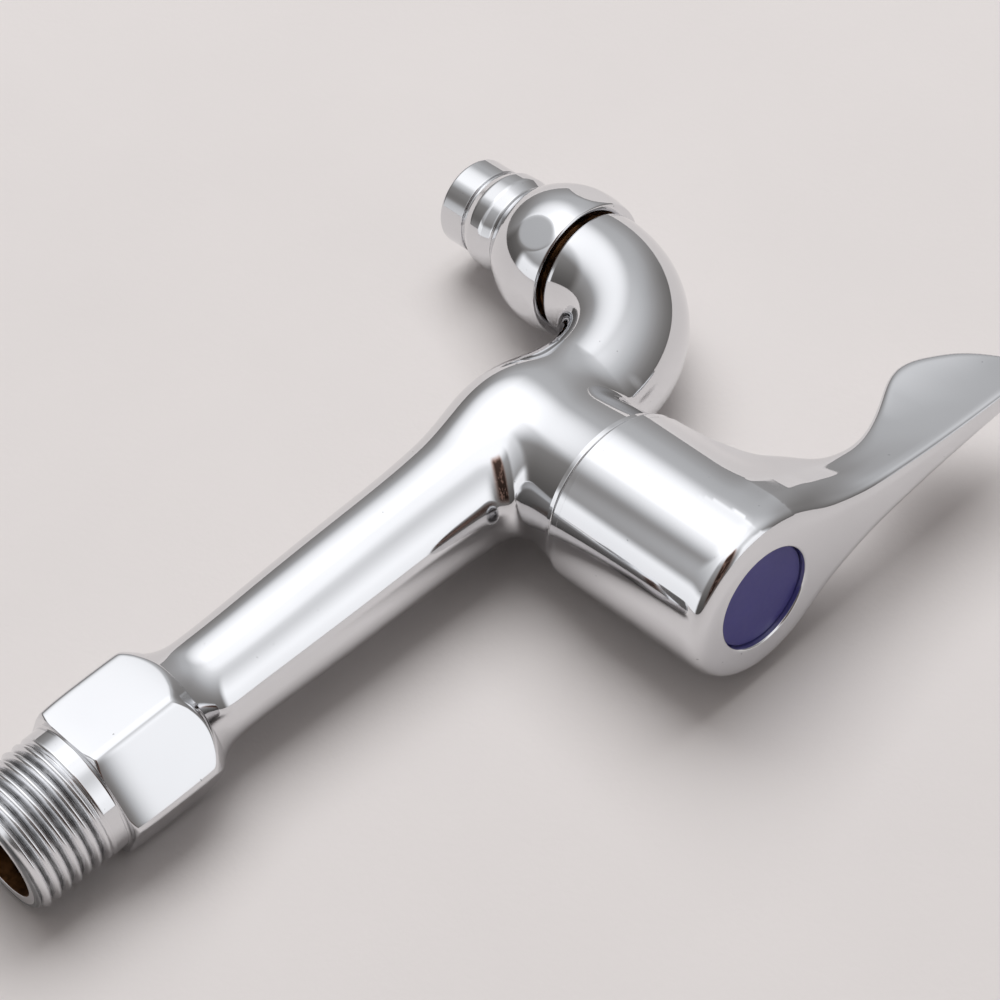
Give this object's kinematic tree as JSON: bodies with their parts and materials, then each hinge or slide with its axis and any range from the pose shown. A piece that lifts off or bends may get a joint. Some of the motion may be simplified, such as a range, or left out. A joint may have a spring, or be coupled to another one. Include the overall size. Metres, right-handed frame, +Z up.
{
  "type": "washing machine tap",
  "caption": "Long-bodied chromed quarter-turn tap with a lever handle, an elbow spout and a screwed-on nozzle for a washing machine hose.",
  "frame": {"origin": "axis of the inlet thread, at the shoulder of the hexagon that meets the wall", "axes": "+Y along the inlet thread into the wall, -Y along the barrel to the spout, +Z up along the handle axis, +X to the left of someone who faces the wall"},
  "size_m": [0.029, 0.1655, 0.0985],
  "materials": {
    "body_chrome": "bright chromium plate on brass",
    "nozzle_chrome": "bright chromium plate on turned brass",
    "handle_chrome": "bright chromium plate on cast zinc",
    "washer_rubber": "black rubber",
    "gasket_fibre": "dark rubber",
    "seal_rubber": "black rubber",
    "ring_rubber": "black rubber",
    "support_steel": "plain stainless steel",
    "clip_steel": "spring steel",
    "screw_steel": "zinc plated steel",
    "headwork_brass": "turned brass",
    "spindle_brass": "turned brass",
    "disc_ceramic": null,
    "thrust_plastic": "white sliding plastic",
    "insert_plastic": "white plastic",
    "cap_plastic": "dark blue plastic, slightly matt"
  },
  "bodies": {
    "valve_body": {"body_casting": "body_chrome", "hose_nozzle": "nozzle_chrome", "nozzle_washer": "washer_rubber", "headwork_body": "headwork_brass", "headwork_gasket": "gasket_fibre", "seat_seal": "seal_rubber", "seal_support_ring": "support_steel", "fixed_disc": "disc_ceramic"},
    "lever": {"moving_disc": "disc_ceramic", "spindle": "spindle_brass", "spindle_thrust_washer": "thrust_plastic", "spindle_seal_lower": "ring_rubber", "spindle_seal_upper": "ring_rubber", "spindle_circlip": "clip_steel", "handle": "handle_chrome", "spline_insert": "insert_plastic", "handle_screw": "screw_steel", "spring_washer": "screw_steel", "index_cap": "cap_plastic"}
  },
  "joints": [
    {"name": "handle_turn", "type": "hinge", "parent": "valve_body", "child": "lever", "pos_m": [0, -0.0885, 0.0189], "axis": [0, 0, 1], "range_deg": [0, 90]}
  ]
}
